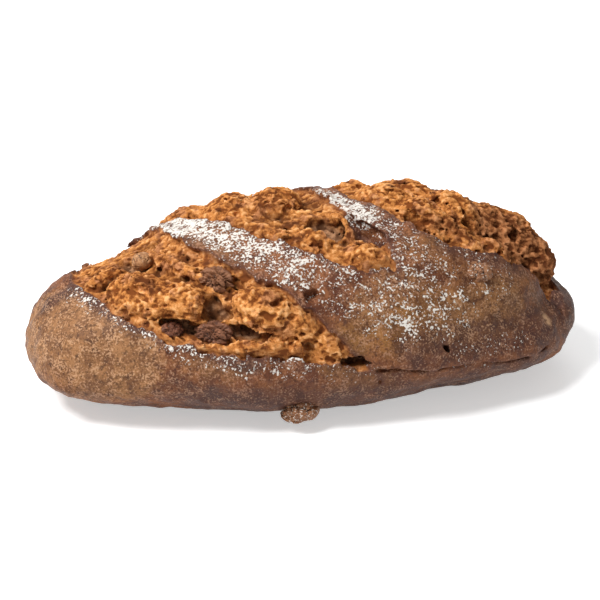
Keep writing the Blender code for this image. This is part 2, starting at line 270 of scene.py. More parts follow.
# Burnt crumb and painted shade: the first stretch is painted shade over the right end of the right slash.
BURNT_AND_SHADE = (
    ((98, -14, 78), (128, -18, 55), 15, 0.75),
    ((60, -26, 90), (100, -28, 76), 5, 0.60),
    ((-88, -30, 72), (-84, -33, 72), 4, 0.65),
    ((-92, -2, 76), (-62, -22, 80), 4, 0.55),
    ((-30, -62, 58), (-22, -63, 56), 4, 0.60),
    ((-44, 30, 86), (-10, -4, 98), 5, 0.35),
)


def smooth_step(value):
    """From 0 to 1 as the value does, with level ends."""
    value = np.clip(value, 0.0, 1.0)
    return value * value * (3.0 - 2.0 * value)


def loaf_value(x, y, z):
    """Below 0 inside the unslashed loaf and above 0 outside."""
    low = 1.0 - smooth_step((z - DENT_LOW) / DENT_FADE)
    length = HALF_LENGTH - END_STEP * smooth_step((z - END_STEP_LOW) / END_STEP_FADE) * (x > 0)
    s = x / length
    width = HALF_WIDTH * (1.0 + TAPER_WIDTH * s)
    for place, reach, dent in BASE_DENTS:
        width = width - dent * np.exp(-(((x - place) / reach) ** 2)) * low * (y < 0)
    rise = (HEIGHT - WAIST_HEIGHT) * (1.0 + TAPER_HEIGHT * s - TAIL_DROP * np.minimum(s, 0.0) ** 2)
    rise = np.where(z > WAIST_HEIGHT, rise, WAIST_HEIGHT * BASE_ROUND)
    blend = np.clip((z - 0.3 * WAIST_HEIGHT) / (1.2 * WAIST_HEIGHT), 0.0, 1.0)
    left = smooth_step((-s - 0.70) / END_SHARE)
    right = smooth_step((s - 0.72) / END_SHARE)
    power = PLAN_POWER_BASE + LEFT_PLAN_POWER * left + RIGHT_PLAN_POWER * right
    power = power + (PLAN_POWER_TOP - PLAN_POWER_BASE) * blend
    section = SECTION_POWER + (LEFT_SECTION_POWER - SECTION_POWER) * left
    across = np.abs((y - BEND * s * s) / width)
    plan = (np.abs(s) ** power + across**power) ** (1.0 / power)
    up = np.abs((z - WAIST_HEIGHT) / rise)
    return ((plan**section + up**section) ** (1.0 / section) - 1.0) * FIELD_SCALE


# ---------------------------------------------------------------- fields on a grid
def spline_weights(coords, cell):
    """The cubic B-spline weights of each coordinate on a lattice of the given cell."""
    place = (coords - coords[0]) / cell
    base = np.floor(place).astype(int)
    f = place - base
    parts = (
        (1 - f) ** 3 / 6,
        (3 * f**3 - 6 * f**2 + 4) / 6,
        (-3 * f**3 + 3 * f**2 + 3 * f + 1) / 6,
        f**3 / 6,
    )
    weights = np.zeros((len(coords), base.max() + 4), np.float32)
    for offset, part in enumerate(parts):
        weights[np.arange(len(coords)), base + offset] = part
    return weights


def linear_weights(coords, knots):
    """The weights that read evenly spaced knots at each coordinate along straight lines."""
    step = knots[1] - knots[0]
    place = np.clip((coords - knots[0]) / step, 0, len(knots) - 1.001)
    base = place.astype(int)
    weights = np.zeros((len(coords), len(knots)), np.float32)
    weights[np.arange(len(coords)), base] = 1 - (place - base)
    weights[np.arange(len(coords)), base + 1] = place - base
    return weights


def spread(lattice, weights):
    """A lattice drawn out to the full grid by its weights along X, Y and Z."""
    field = np.tensordot(weights[0], lattice, (1, 0))
    field = np.matmul(weights[1], field)
    return np.matmul(field, weights[2].T)


def grid_noise(axes, size, seed, stretch=(1.0, 1.0, 1.0)):
    """Smooth random values with a spread of 1, whose bumps are about `size` across, times a stretch."""
    random = np.random.default_rng(seed)
    weights = [spline_weights(axis, size * share * 0.5) for axis, share in zip(axes, stretch)]
    lattice = random.standard_normal([w.shape[1] for w in weights]).astype(np.float32)
    field = spread(lattice, weights)
    return field / field.std()


def sample(field, axes, points):
    """The field's values at points, by trilinear interpolation."""
    total = 0.0
    place = [np.clip((points[:, k] - axes[k][0]) / VOXEL, 0, len(axes[k]) - 1.001) for k in range(3)]
    base = [p.astype(int) for p in place]
    part = [p - b for p, b in zip(place, base)]
    for i in (0, 1):
        for j in (0, 1):
            for k in (0, 1):
                weight = (part[0] if i else 1 - part[0]) * (part[1] if j else 1 - part[1])
                weight = weight * (part[2] if k else 1 - part[2])
                total = total + weight * field[base[0] + i, base[1] + j, base[2] + k]
    return total


def turned(turn):
    """The matrix of a turn in degrees about Z."""
    return np.array(Matrix.Rotation(math.radians(turn), 3, "Z"))


def on_outline(spot, turn):
    """The nearest spot on the outline, and as columns the ways along a slash, across it and outwards."""
    spot = np.array(spot)
    for _ in range(5):
        steps = np.eye(3) * 0.5
        slope = np.array([float(loaf_value(*(spot + step)) - loaf_value(*(spot - step))) for step in steps])
        spot = spot - slope * loaf_value(*spot) / (slope @ slope)
    normal = Vector(slope).normalized()
    along = Vector((0.70, -0.70, 0.0))
    along = (along - normal * along.dot(normal)).normalized()
    along = Matrix.Rotation(math.radians(turn), 3, normal) @ along
    return spot, np.stack([along, normal.cross(along), normal], 1)


def block(axes, middle, reach):
    """The slices of the grid within reach of a point, and their coordinates."""
    slices, coords = [], []
    for axis, at in zip(axes, middle):
        first, last = np.searchsorted(axis, (at - reach, at + reach))
        slices.append(slice(first, last))
        coords.append(axis[first:last])
    return tuple(slices), np.meshgrid(*coords, indexing="ij", sparse=True)


def ellipsoid(coords, middle, half, rotation):
    """The distance outside an ellipsoid, near enough for joining and cutting."""
    local = [c - m for c, m in zip(coords, middle)]
    total, steep = 0.0, 0.0
    for k in range(3):
        along = sum(rotation[i, k] * local[i] for i in range(3))
        total = total + (along / half[k]) ** 2
        steep = steep + (along / half[k] ** 2) ** 2
    root = np.sqrt(total)
    return root * (root - 1.0) / np.sqrt(steep + 1e-9)


def smooth_min(a, b, width):
    """The lesser of two values, with the corner between them rounded over a width."""
    h = np.clip(0.5 + 0.5 * (b - a) / width, 0.0, 1.0)
    return b * (1 - h) + a * h - width * h * (1 - h)


def slash_fields(slash, x, y, z):
    """For points on the grid: how far inside the slash's lips, and the share of the way to the upper lip."""
    along = Vector(slash["along"]).normalized()
    across = Vector(slash["across"])
    across = (across - along * across.dot(along)).normalized()
    outward = along.cross(across)
    local = [x - slash["middle"][0], y - slash["middle"][1], z - slash["middle"][2]]
    u = sum(local[k] * along[k] for k in range(3))
    w = sum(local[k] * across[k] for k in range(3))
    h = sum(local[k] * outward[k] for k in range(3))
    stations = np.array(slash["stations"], float)
    fine = np.linspace(stations[0, 0], stations[-1, 0], 200)
    kernel = np.hanning(25)
    kernel /= kernel.sum()

    def rounded(column):
        padded = np.pad(np.interp(fine, stations[:, 0], stations[:, column]), 12, "edge")
        return np.convolve(padded, kernel, "valid")

    lower = np.interp(u, fine, rounded(1)).astype(np.float32)
    upper = np.interp(u, fine, rounded(2)).astype(np.float32)
    ends = np.minimum(u - fine[0], fine[-1] - u)
    inside = np.minimum(np.minimum(w - lower, upper - w), ends * 0.6)
    inside = np.where(h > SLASH_DEEPEST, inside, FAR_OUTSIDE)
    share = (w - lower) / np.maximum(upper - lower, 4.0)
    return inside.astype(np.float32), share.astype(np.float32)


def cover(stretches, points):
    """How much of the surface the stretches cover at each point, from 0 to 1."""
    total = np.zeros(len(points))
    for start, end, reach, most in stretches:
        start, end = np.array(start, float), np.array(end, float)
        along = end - start
        t = np.clip((points - start) @ along / (along @ along), 0, 1)
        gap = np.linalg.norm(points - start - t[:, None] * along, axis=1)
        total = np.maximum(total, most * (1.0 - smooth_step((gap / reach - 0.55) / 0.9)))
    return total


def grid_cover(axes, stretches):
    """The cover of stretches at each point of the grid."""
    total = np.zeros([len(axis) for axis in axes], np.float32)
    for stretch in stretches:
        start, end, reach, _ = stretch
        middle = (np.array(start) + np.array(end)) / 2
        where, coords = block(axes, middle, np.linalg.norm(middle - np.array(start)) + 1.5 * reach)
        points = np.stack(np.broadcast_arrays(*coords), -1)
        this = cover((stretch,), points.reshape(-1, 3)).reshape(points.shape[:3])
        total[where] = np.maximum(total[where], this)
    return total


def loaf_field():
    """The loaf's field on its grid, and what the mesh's attributes are read from."""
    axes = [np.arange(low, high, VOXEL) for low, high in zip(GRID_LOW, GRID_HIGH)]
    knots = [np.arange(axis[0], axis[-1] + 3.0, COARSE_CELL) for axis in axes]
    coarse = loaf_value(*np.meshgrid(*knots, indexing="ij", sparse=True))
    slope = np.sqrt(sum(g * g for g in np.gradient(coarse, COARSE_CELL)))
    coarse = coarse / np.maximum(slope, 0.3)
    outline = spread(coarse.astype(np.float32), [linear_weights(a, k) for a, k in zip(axes, knots)])
    x, y, z = np.meshgrid(*[axis.astype(np.float32) for axis in axes], indexing="ij", sparse=True)

    edge_wander = 0.9 * grid_noise(axes, 9.0, 11) + 0.5 * grid_noise(axes, 3.5, 12)
    inside = np.full(outline.shape, FAR_OUTSIDE, np.float32)
    share = np.zeros(outline.shape, np.float32)
    for slash in SLASHES.values():
        this, this_share = slash_fields(slash, x, y, z)
        closer = this > inside
        inside = np.where(closer, this, inside)
        share = np.where(closer, this_share, share)
    inside = inside + edge_wander
    crumb = smooth_step(inside / 1.6 + 0.5)

    coarse_bumps = grid_noise(axes, 26.0, 21)
    bumps = grid_noise(axes, 11.0, 22)
    small = grid_noise(axes, 5.0, 23)
    fine = grid_noise(axes, 2.6, 24)
    finest = grid_noise(axes, 1.7, 25)

    # The crust: low swellings, faint wrinkles, and lips that stand a little proud of the slashes.
    near_lip = np.exp(-np.minimum(np.abs(inside), 30.0) / LIP_REACH)
    crust_rise = 0.55 * coarse_bumps + 0.30 * bumps + 0.16 * small + 0.05 * fine
    crust_rise = crust_rise + LIP_RISE * near_lip * (0.4 + 0.6 * smooth_step(share))
    fold = z - np.interp(x, [spot[0] for spot in CREASE], [spot[2] for spot in CREASE])
    over = smooth_step(fold / 3.0 + 0.5) * (1.0 - smooth_step((fold - 4.0) / 18.0)) * (y < 0)
    over = over * smooth_step((x - 14.0) / 14.0) * (1.0 - smooth_step((x - 106.0) / 14.0))
    crust_rise = (crust_rise + LAP * over) * smooth_step(z / 10.0)

    # The crumb: it lies a little under the crust and swells out in lumps.
    crumb_rise = -CRUMB_SINK - CRUMB_SINK_INSIDE * smooth_step(inside / 9.0) + 0.7 * coarse_bumps
    field = outline - (crust_rise * (1.0 - crumb) + crumb_rise * crumb)
    for spot, rise, half, turn in LUMPS:
        spot, axis_frame = on_outline(spot, turn)
        middle = spot + axis_frame[:, 2] * (rise - half[2])
        where, coords = block(axes, middle, max(half) + 8.0)
        lump = ellipsoid(coords, middle, half, axis_frame) - 0.8 * coarse_bumps[where]
        joined = smooth_min(field[where], lump, 2.5)
        mix = smooth_step(inside[where] / 2.4)
        field[where] = field[where] * (1 - mix) + joined * mix

    # Torn, spongy crumb: sharp ridges between rounded pits, and threads drawn out along the loaf.
    threads_noise = grid_noise(axes, 1.9, 26, (2.6, 1.0, 1.0))
    ridges = 1.0 - np.abs(bumps + 0.35 * small)
    strands = 1.0 - np.abs(small * 0.9 + 0.4 * fine)
    threads = 1.0 - np.abs(threads_noise * 0.9 + 0.3 * finest)
    torn = 0.62 * ridges + 0.24 * strands + 0.42 * threads + 0.22 * finest - 0.3
    field = field - torn * crumb * (1.0 - 0.62 * grid_cover(axes, SMOOTH))
    relief = 0.35 * ridges + 0.75 * strands + 0.9 * threads + 0.4 * finest

    # Hollows and caves.
    for spot, deep, half, turn in HOLLOWS:
        spot, axis_frame = on_outline(spot, turn)
        middle = spot - axis_frame[:, 2] * deep
        where, coords = block(axes, middle, max(half) + 6.0)
        hollow = ellipsoid(coords, middle, half, axis_frame) + 0.5 * small[where] + 0.25 * fine[where]
        field[where] = -smooth_min(-field[where], hollow, 0.8)

    # Torn holes of a few millimetres, then pores of about one.
    random = np.random.default_rng(5)
    for count, size, spread_of_sizes in HOLES:
        surface = np.argwhere((np.abs(field) < 0.6) & (inside > 2.0))
        for index in surface[random.choice(len(surface), min(len(surface), count), replace=False)]:
            middle = np.array([axes[k][index[k]] for k in range(3)]) + random.normal(0.0, 0.6, 3)
            half = size * np.exp(random.normal(0.0, spread_of_sizes)) * np.array([1.6, 0.9, 0.9])
            where, coords = block(axes, middle, max(half) + 1.5)
            pore = ellipsoid(coords, middle, half, turned(random.uniform(-70, -20))) + 0.3 * small[where]
            field[where] = -smooth_min(-field[where], pore, 0.3)

    # The crease itself, a round groove from spot to spot.
    spots = [on_outline(spot, 0)[0] for spot in CREASE]
    for start, end in zip(spots, spots[1:]):
        where, coords = block(axes, (start + end) / 2, np.linalg.norm(end - start) / 2 + 5.0)
        part = [c - s for c, s in zip(coords, start)]
        t = np.clip(sum(p * d for p, d in zip(part, end - start)) / ((end - start) ** 2).sum(), 0, 1)
        gap = np.sqrt(sum((p - t * d) ** 2 for p, d in zip(part, end - start)))
        gap = gap - CREASE_RADIUS + 0.2 * small[where]
        field[where] = -smooth_min(-field[where], gap, 0.9)

    # Nothing goes below the table.
    field = np.maximum(field, -z)
    return axes, field, outline, inside, relief


# ---------------------------------------------------------------- from a field to a mesh
def surface_nets(field, axes):
    """The points and quads of the field's zero level."""
    inside = field < 0
    shape = [n - 1 for n in field.shape]
    count = np.zeros(shape, np.int8)
    for i in (0, 1):
        for j in (0, 1):
            for k in (0, 1):
                count += inside[i : shape[0] + i, j : shape[1] + j, k : shape[2] + k]
    cells = np.argwhere((count > 0) & (count < 8))
    index = -np.ones(shape, np.int64)
    index[tuple(cells.T)] = np.arange(len(cells))
    total = np.zeros((len(cells), 3))
    crossings = np.zeros(len(cells))
    for corner in np.ndindex(2, 2, 2):
        for axis in range(3):
            if corner[axis]:
                continue
            other = np.array(corner)
            other[axis] = 1
            a = field[tuple((cells + corner).T)]
            b = field[tuple((cells + other).T)]
            crossed = (a < 0) != (b < 0)
            point = np.tile(np.array(corner, float), (len(cells), 1))
            point[:, axis] = np.where(crossed, a / np.where(crossed, a - b, 1.0), 0.0)
            total += point * crossed[:, None]
            crossings += crossed
    local = total / crossings[:, None]
    points = np.stack([axes[k][0] + (cells[:, k] + local[:, k]) * VOXEL for k in range(3)], -1)
    quads = []
    for axis in range(3):
        low = [slice(1, -1)] * 3
        high = [slice(1, -1)] * 3
        low[axis] = slice(0, -1)
        high[axis] = slice(1, None)
        a, b = inside[tuple(low)], inside[tuple(high)]
        edges = np.argwhere(a != b)
        leaving = a[tuple(edges.T)]
        offset = np.ones(3, int)
        offset[axis] = 0
        first, second = [k for k in range(3) if k != axis]
        ring = []
        for down in ((1, 1), (0, 1), (0, 0), (1, 0)):
            cell = edges + offset
            cell[:, first] -= down[0]
            cell[:, second] -= down[1]
            ring.append(index[tuple(cell.T)])
        ring = np.stack(ring, -1)
        forward = leaving if axis != 1 else ~leaving
        quads.append(np.where(forward[:, None], ring, ring[:, ::-1]))
    return points, np.concatenate(quads)


def biggest_island(points, faces):
    """Only the faces of the mesh's largest piece, so that no crumb floats and no cave is sealed."""
    label = np.arange(len(points))
    while True:
        lowest = label[faces].min(axis=1)
        before = label.copy()
        for k in range(faces.shape[1]):
            np.minimum.at(label, faces[:, k], lowest)
        label = label[label]
        if (label == before).all():
            break
    kept = label == np.bincount(label).argmax()
    renumber = np.cumsum(kept) - 1
    return points[kept], renumber[faces[kept[faces[:, 0]]]]


def mesh_object(name, points, faces):
    """A smooth-shaded object from points in millimetres and faces of equal numbers of sides."""
    mesh = bpy.data.meshes.new(name)
    mesh.vertices.add(len(points))
    mesh.vertices.foreach_set("co", (points * MM).astype(np.float32).ravel())
    sides = faces.shape[1]
    mesh.loops.add(len(faces) * sides)
    mesh.loops.foreach_set("vertex_index", faces.astype(np.int32).ravel())
    mesh.polygons.add(len(faces))
    mesh.polygons.foreach_set("loop_start", np.arange(0, len(faces) * sides, sides, dtype=np.int32))
    mesh.update(calc_edges=True)
    mesh.shade_smooth()
    obj = bpy.data.objects.new(name, mesh)
    bpy.context.scene.collection.objects.link(obj)
    return obj


def thinned(obj, triangles):
    """The object with its faces merged down to a number of triangles, fewest where it is smooth."""
    modifier = obj.modifiers.new("thin", "DECIMATE")
    count = sum(len(p.vertices) - 2 for p in obj.data.polygons)
    modifier.ratio = min(1.0, triangles / count)
    evaluated = obj.evaluated_get(bpy.context.evaluated_depsgraph_get())
    mesh = bpy.data.meshes.new_from_object(evaluated)
    obj.modifiers.clear()
    obj.data = mesh
    mesh.shade_smooth()
    return obj


def set_attribute(mesh, name, values):
    """A number at each vertex, for the material to read."""
    made = mesh.attributes.new(name, "FLOAT", "POINT")
    made.data.foreach_set("value", values.astype(np.float32))


def points_of(mesh):
    """The mesh's vertices, in millimetres."""
    points = np.empty(len(mesh.vertices) * 3, np.float32)
    mesh.vertices.foreach_get("co", points)
    return points.reshape(-1, 3).astype(float) / MM


def loaf_piece():
    """The crust and crumb in one mesh, with the attributes that its material reads."""
    axes, field, outline, inside, relief = loaf_field()
    points, faces = surface_nets(field, axes)
    points, faces = biggest_island(points, faces)
    piece = thinned(mesh_object("loaf_crust_and_crumb", points, faces), LOAF_TRIANGLES)
    mesh = piece.data
    points = points_of(mesh)
    normals = np.empty(len(mesh.vertices) * 3, np.float32)
    mesh.vertices.foreach_get("normal", normals)
    normals = normals.reshape(-1, 3)
    inner = sample(inside, axes, points)
    depth = -sample(outline, axes, points)
    set_attribute(mesh, "crumb", smooth_step(inner / 1.2 + 0.5))
    set_attribute(mesh, "lip", np.exp(-np.abs(inner) / 3.0))
    set_attribute(mesh, "depth", np.clip(depth / 10.0, 0, 1))
    set_attribute(mesh, "relief", sample(relief, axes, points))
    set_attribute(mesh, "flour", cover(FLOUR, points) * smooth_step(normals[:, 2] * 1.4 + 0.75))
    patches = {"tan": TAN, "purple": PURPLE, "burnt_and_shade": BURNT_AND_SHADE, "pale": PALE, "golden": GOLDEN}
    for name, stretches in patches.items():
        set_attribute(mesh, name, cover(stretches, points))
    return piece


# ---------------------------------------------------------------- walnuts
# A walnut piece: its middle, half sizes, turn, how deep its folds are, how tan it is and how floury.
WALNUTS = {
    "walnut_in_arch": ((-84.4, -9.6, 74.4), (5.2, 4.5, 4.5), 10, 0.05, 1.0, 0.0),
    "walnut_curled": ((-51.6, -36.6, 73.2), (8.0, 5.8, 5.6), -35, 0.24, 0.30, 0.0),
    "walnut_left": ((-76.2, -46.6, 52.6), (5.6, 4.5, 4.0), 15, 0.16, 0.05, 0.0),
    "walnut_middle": ((-56.2, -52.6, 52.4), (8.6, 6.0, 5.4), -20, 0.20, 0.15, 0.0),
    "walnut_shoulder": ((77.2, -43.6, 68.0), (8.4, 6.0, 5.2), -15, 0.10, 0.45, 0.30),
    "walnut_at_foot": ((-16.2, -62.0, 10.8), (9.0, 6.4, 5.8), 5, 0.16, 0.45, 0.36),
}


# The folds of a kernel are waves: how fast the coarsest ones vary, and how much finer and fainter each
# further octave is.
FOLD_COARSEST = 3.2
FOLD_FINER = 2.2
FOLD_FADE = 0.62


def walnut_piece(name, middle, half, turn, wrinkle, tan, flour):
    """A walnut piece: a ball pressed to its half sizes and folded like the kernel."""
    bm = bmesh.new()
    bmesh.ops.create_icosphere(bm, subdivisions=6, radius=1.0)
    points = np.array([vert.co for vert in bm.verts])
    random = np.random.default_rng(len(name))
    folds = np.zeros(len(points))
    for octave in range(4):
        for _ in range(5):
            wave = random.normal(size=3)
            wave *= FOLD_FINER**octave * FOLD_COARSEST / np.linalg.norm(wave)
            folds += np.sin(points @ wave + random.uniform(0, 6.28)) * FOLD_FADE**octave
    folds = np.abs(folds / 2.4)
    shaped = points * (1.0 + wrinkle * (np.minimum(folds, 1.0) * 2.0 - 1.2))[:, None] * np.array(half)
    shaped = shaped @ turned(turn).T + np.array(middle)
    for vert, point in zip(bm.verts, shaped):
        vert.co = point * MM
    mesh = bpy.data.meshes.new(f"{name}_kernel")
    bm.to_mesh(mesh)
    bm.free()
    mesh.shade_smooth()
    set_attribute(mesh, "fold", folds)
    set_attribute(mesh, "tan", np.full(len(folds), tan))
    set_attribute(mesh, "flour", np.full(len(folds), flour))
    obj = bpy.data.objects.new(f"{name}_kernel", mesh)
    bpy.context.scene.collection.objects.link(obj)
    return obj


# ---------------------------------------------------------------- materials
class Nodes:
    """Short ways to add nodes to a material."""

    def __init__(self, name):
        self.material = bpy.data.materials.new(name)
        self.material.use_nodes = True
        self.tree = self.material.node_tree
        self.shader = self.tree.nodes["Principled BSDF"]
        self.where = self.add("ShaderNodeTexCoord").outputs["Object"]

    def add(self, kind, inputs=None, **settings):
        node = self.tree.nodes.new(kind)
        for key, value in settings.items():
            setattr(node, key, value)
        for key, value in (inputs or {}).items():
            self.put(node.inputs[key], value)
        return node

    def put(self, socket, value):
        if isinstance(value, bpy.types.NodeSocket):
            self.tree.links.new(value, socket)
        else:
            socket.default_value = value

    def attribute(self, name):
        return self.add("ShaderNodeAttribute", attribute_name=name).outputs["Fac"]

    def noise(self, size, detail=3.0, roughness=0.55, distortion=0.0):
        """Noise whose features are about `size` millimetres across."""
        inputs = {"Vector": self.where, "Scale": 1.0 / (size * MM), "Detail": detail}
        inputs.update({"Roughness": roughness, "Distortion": distortion})
        return self.add("ShaderNodeTexNoise", inputs).outputs["Fac"]

    def cells(self, size, feature="F1"):
        inputs = {"Vector": self.where, "Scale": 1.0 / (size * MM)}
        return self.add("ShaderNodeTexVoronoi", inputs, feature=feature).outputs["Distance"]

    def ramp(self, value, low, high, to_low=0.0, to_high=1.0, smooth=True):
        inputs = {"Value": value, "From Min": low, "From Max": high, "To Min": to_low, "To Max": to_high}
        kind = "SMOOTHSTEP" if smooth else "LINEAR"
        return self.add("ShaderNodeMapRange", inputs, interpolation_type=kind).outputs["Result"]

    def mix(self, factor, a, b):
        node = self.add("ShaderNodeMix", data_type="RGBA")
        for socket, value in zip((node.inputs[0], node.inputs[6], node.inputs[7]), (factor, a, b)):
            self.put(socket, (*value, 1.0) if isinstance(value, tuple) and len(value) == 3 else value)
        return node.outputs[2]

    def mixed(self, factor, a, b):
        node = self.add("ShaderNodeMix", data_type="FLOAT")
        for socket, value in zip(node.inputs[:1] + node.inputs[2:4], (factor, a, b)):
            self.put(socket, value)
        return node.outputs[0]

    def maths(self, operation, a, b=0.0):
        return self.add("ShaderNodeMath", {0: a, 1: b}, operation=operation).outputs[0]

    def bump(self, height, distance, strength=1.0, normal=None):
        inputs = {"Height": height, "Distance": distance * MM, "Strength": strength}
        if normal:
            inputs["Normal"] = normal
        return self.add("ShaderNodeBump", inputs).outputs["Normal"]


# Colours, as pairs from the darker to the lighter of each patch.
BROWN = ((0.112, 0.034, 0.015), (0.260, 0.094, 0.036))
GOLDEN_BROWN = ((0.160, 0.068, 0.019), (0.330, 0.152, 0.042))
PALE_TAN = ((0.180, 0.076, 0.030), (0.330, 0.155, 0.062))
PURPLE_BROWN = ((0.060, 0.024, 0.018), (0.116, 0.050, 0.034))
FRECKLES = ((0.400, 0.220, 0.135), (0.580, 0.340, 0.190))
# The crumb's gold, from painted shade in its pits to its lit colour on the ridges.
GOLD = ((0.200, 0.058, 0.014), (0.600, 0.235, 0.062))
# Toasted crumb, also used for the painted shade over the right slash's right end.
TOAST_AND_SHADE = ((0.085, 0.025, 0.010), (0.480, 0.190, 0.085))
DEEP_CRUMB = ((0.125, 0.056, 0.027), (0.430, 0.225, 0.118))
WALNUT_RED = ((0.075, 0.022, 0.012), (0.220, 0.080, 0.042))
WALNUT_PALE = ((0.250, 0.105, 0.040), (0.560, 0.290, 0.130))
BROAD_TAN = (0.245, 0.110, 0.038)
LIP_BROWN = (0.085, 0.030, 0.022)
DARK_MOTTLE = (0.040, 0.015, 0.009)
DARK_SPECK = (0.050, 0.020, 0.012)
PALE_CRUST = (0.520, 0.310, 0.170)
# Painted highlight on the crumb's ridges.
RIDGE_HIGHLIGHT = (0.900, 0.460, 0.185)
# Partly the crumb's browner colour and partly painted shade, where it lies deep.
PIT_BROWN_AND_SHADE = (0.110, 0.038, 0.012)
# Partly the crust's dark cut edge and partly painted shade, along the lips.
LIP_EDGE_AND_SHADE = (0.170, 0.058, 0.026)
FLOUR_WHITE = (0.790, 0.745, 0.680)
# Painted shade in the folds of a walnut kernel.
WALNUT_FOLD_SHADE = (0.030, 0.010, 0.006)
WALNUT_FLOUR = (0.720, 0.650, 0.580)


def loaf_material():
    """Crust, crumb and flour in one material, told apart by the mesh's attributes."""
    n = Nodes("rye_crust_and_crumb")
    names = ("crumb", "depth", "flour", "lip", "relief", "tan", "purple")
    crumb, depth, flour, lip, relief, tan, purple = (n.attribute(name) for name in names)

    # Crust: brown, tan at the left end and in patches, purple brown low down and near the slashes, and
    # everywhere freckled with pale and dark specks.
    broad = n.noise(30.0, 3.0)
    patchy = n.noise(8.0, 4.0, 0.6)
    mottle = n.noise(2.6, 4.0, 0.65)
    speck = n.noise(1.0, 3.0, 0.65)
    brown = n.mix(n.ramp(patchy, 0.35, 0.65), *BROWN)
    brown = n.mix(n.ramp(broad, 0.50, 0.66, 0.0, 0.5), brown, BROAD_TAN)
    golden = n.mix(n.ramp(patchy, 0.35, 0.65), *GOLDEN_BROWN)
    share = n.maths("MULTIPLY", n.attribute("golden"), n.ramp(mottle, 0.32, 0.6, 0.4, 1.0))
    brown = n.mix(share, brown, golden)
    pale_tan = n.mix(n.ramp(patchy, 0.35, 0.65), *PALE_TAN)
    dark = n.mix(n.ramp(patchy, 0.35, 0.65), *PURPLE_BROWN)
    tanned = n.maths("ADD", tan, n.ramp(mottle, 0.3, 0.7, -0.30, 0.30))
    crust = n.mix(n.ramp(tanned, 0.2, 0.8), brown, pale_tan)
    shade = n.maths("ADD", purple, n.ramp(mottle, 0.3, 0.7, -0.25, 0.25))
    crust = n.mix(n.ramp(shade, 0.15, 0.85, 0.0, 0.9), crust, dark)
    rim = n.maths("MULTIPLY", n.ramp(lip, 0.30, 0.85), n.ramp(flour, 0.75, 0.45))
    crust = n.mix(n.maths("MULTIPLY", rim, 0.72), crust, LIP_BROWN)
    crust = n.mix(n.ramp(mottle, 0.50, 0.34, 0.0, 0.60), crust, DARK_MOTTLE)
    crust = n.mix(n.ramp(speck, 0.46, 0.36, 0.0, 0.55), crust, DARK_SPECK)
    freckle = n.maths("ADD", speck, n.ramp(n.noise(6.0, 3.0), 0.3, 0.7, -0.07, 0.07))
    freckle = n.maths("ADD", freckle, n.maths("MULTIPLY", tan, 0.02))
    freckled = n.ramp(freckle, 0.56, 0.62, 0.0, 0.62)
    crust = n.mix(freckled, crust, n.mix(tan, *FRECKLES))
    share = n.maths("MULTIPLY", n.attribute("pale"), n.ramp(mottle, 0.3, 0.5))
    crust = n.mix(share, crust, PALE_CRUST)

    # Crumb: orange gold, with painted highlight on the ridges and painted shade in the pits, toasted in
    # patches and given painted shade over the right slash's right end, darker where it lies deep (partly a
    # browner colour, partly painted shade), duller deeper still, and darker along the lips (partly the
    # crust's cut edge, partly painted shade).
    torn = n.noise(1.3, 4.0, 0.7)
    tone = n.noise(9.0, 5.0, 0.6)
    height = n.maths("ADD", relief, n.ramp(torn, 0.25, 0.75, -0.9, 0.9, smooth=False))
    # These ramps by relief height paint highlight on the ridges and shade in the pits.
    gold = n.mix(n.ramp(height, -0.4, 0.9), *GOLD)
    gold = n.mix(n.ramp(height, 0.8, 1.9), gold, RIDGE_HIGHLIGHT)
    toast_and_shade = n.mix(n.ramp(height, -0.2, 1.7), *TOAST_AND_SHADE)
    # Toasted patches, and painted shade where the first burnt stretch lies, at the right slash's right end.
    toasted_and_shaded = n.maths("MAXIMUM", n.ramp(tone, 0.50, 0.60, 0.0, 0.75), n.attribute("burnt_and_shade"))
    gold = n.mix(toasted_and_shaded, gold, toast_and_shade)
    # Darker where the crumb lies deep under the outline: partly its browner colour, partly painted shade.
    gold = n.mix(n.ramp(depth, 0.30, 0.70, 0.0, 0.65), gold, PIT_BROWN_AND_SHADE)
    deep = n.mix(n.ramp(height, 0.0, 1.8), *DEEP_CRUMB)
    inner = n.mix(n.ramp(depth, 0.66, 0.95), gold, deep)
    # Darker along the lips: partly the crust's cut edge, partly painted shade where the crumb sits below the
    # crust.
    inner = n.mix(n.maths("MULTIPLY", lip, 0.6), inner, LIP_EDGE_AND_SHADE)

    # Flour: grains that show where the noise passes a threshold, lower where the flour is thicker.
    base = n.mix(crumb, crust, inner)
    grains = n.maths("ADD", n.noise(1.15, 2.5, 0.55), n.ramp(n.noise(4.5, 3.0), 0.3, 0.7, -0.09, 0.09))
    threshold = n.ramp(flour, 0.0, 1.0, 0.72, 0.36, smooth=False)
    dusted = n.ramp(n.maths("SUBTRACT", grains, threshold), -0.02, 0.035)
    dusted = n.maths("MULTIPLY", dusted, n.ramp(flour, 0.02, 0.12))
    dusted = n.maths("MULTIPLY", dusted, n.ramp(crumb, 0.6, 0.3))
    base = n.mix(n.maths("MULTIPLY", dusted, 0.94), base, FLOUR_WHITE)
    n.put(n.shader.inputs["Base Color"], base)

    rough = n.mixed(crumb, n.ramp(patchy, 0.3, 0.7, 0.48, 0.66), 0.9)
    n.put(n.shader.inputs["Roughness"], n.mixed(dusted, rough, 0.95))
    n.put(n.shader.inputs["Specular IOR Level"], n.mixed(crumb, 0.22, 0.06))

    wrinkle = n.mixed(crumb, n.noise(2.0, 5.0, 0.6), torn)
    normal = n.bump(wrinkle, 0.7)
    normal = n.bump(dusted, 0.22, 1.0, normal)
    n.put(n.shader.inputs["Normal"], normal)
    return n.material


